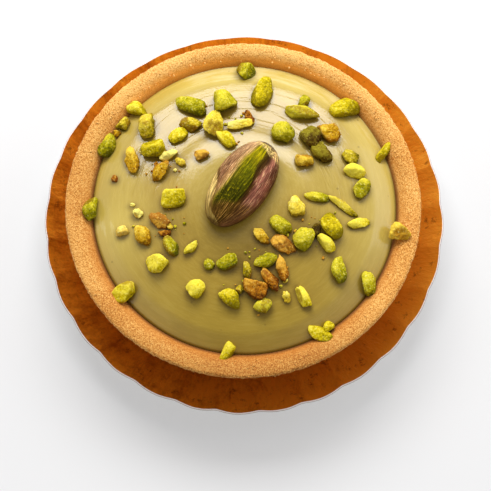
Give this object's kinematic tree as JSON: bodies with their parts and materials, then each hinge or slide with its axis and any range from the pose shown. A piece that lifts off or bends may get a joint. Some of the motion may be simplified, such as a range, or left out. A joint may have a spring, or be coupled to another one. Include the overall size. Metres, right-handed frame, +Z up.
{
  "type": "tartlet",
  "caption": "Single-portion tartlet: crumbly pastry shell filled with smooth nut cream, a whole nut kernel and chopped nuts on top, in a shallow fluted foil case",
  "frame": {"origin": "middle of the case's flat underside, on the surface that the tartlet stands on", "axes": "+Z up through the middle of the cream; +Y away from the viewer, +X to the viewer's right"},
  "size_m": [0.0801, 0.0802, 0.0276],
  "materials": {
    "case": "satin copper-gold foil on thin card, pale cut edge",
    "crust": "dry sandy shortcrust, light golden brown",
    "cream": "smooth glossy pale pistachio cream",
    "nuts": "chopped nuts, lime to olive green with some golden and brown pieces",
    "pistachio": "dry nut skin, purple-brown streaks over green flesh"
  },
  "bodies": {
    "root": {"case": "case", "crust": "crust", "cream": "cream", "pistachio": "pistachio"}
  },
  "joints": []
}
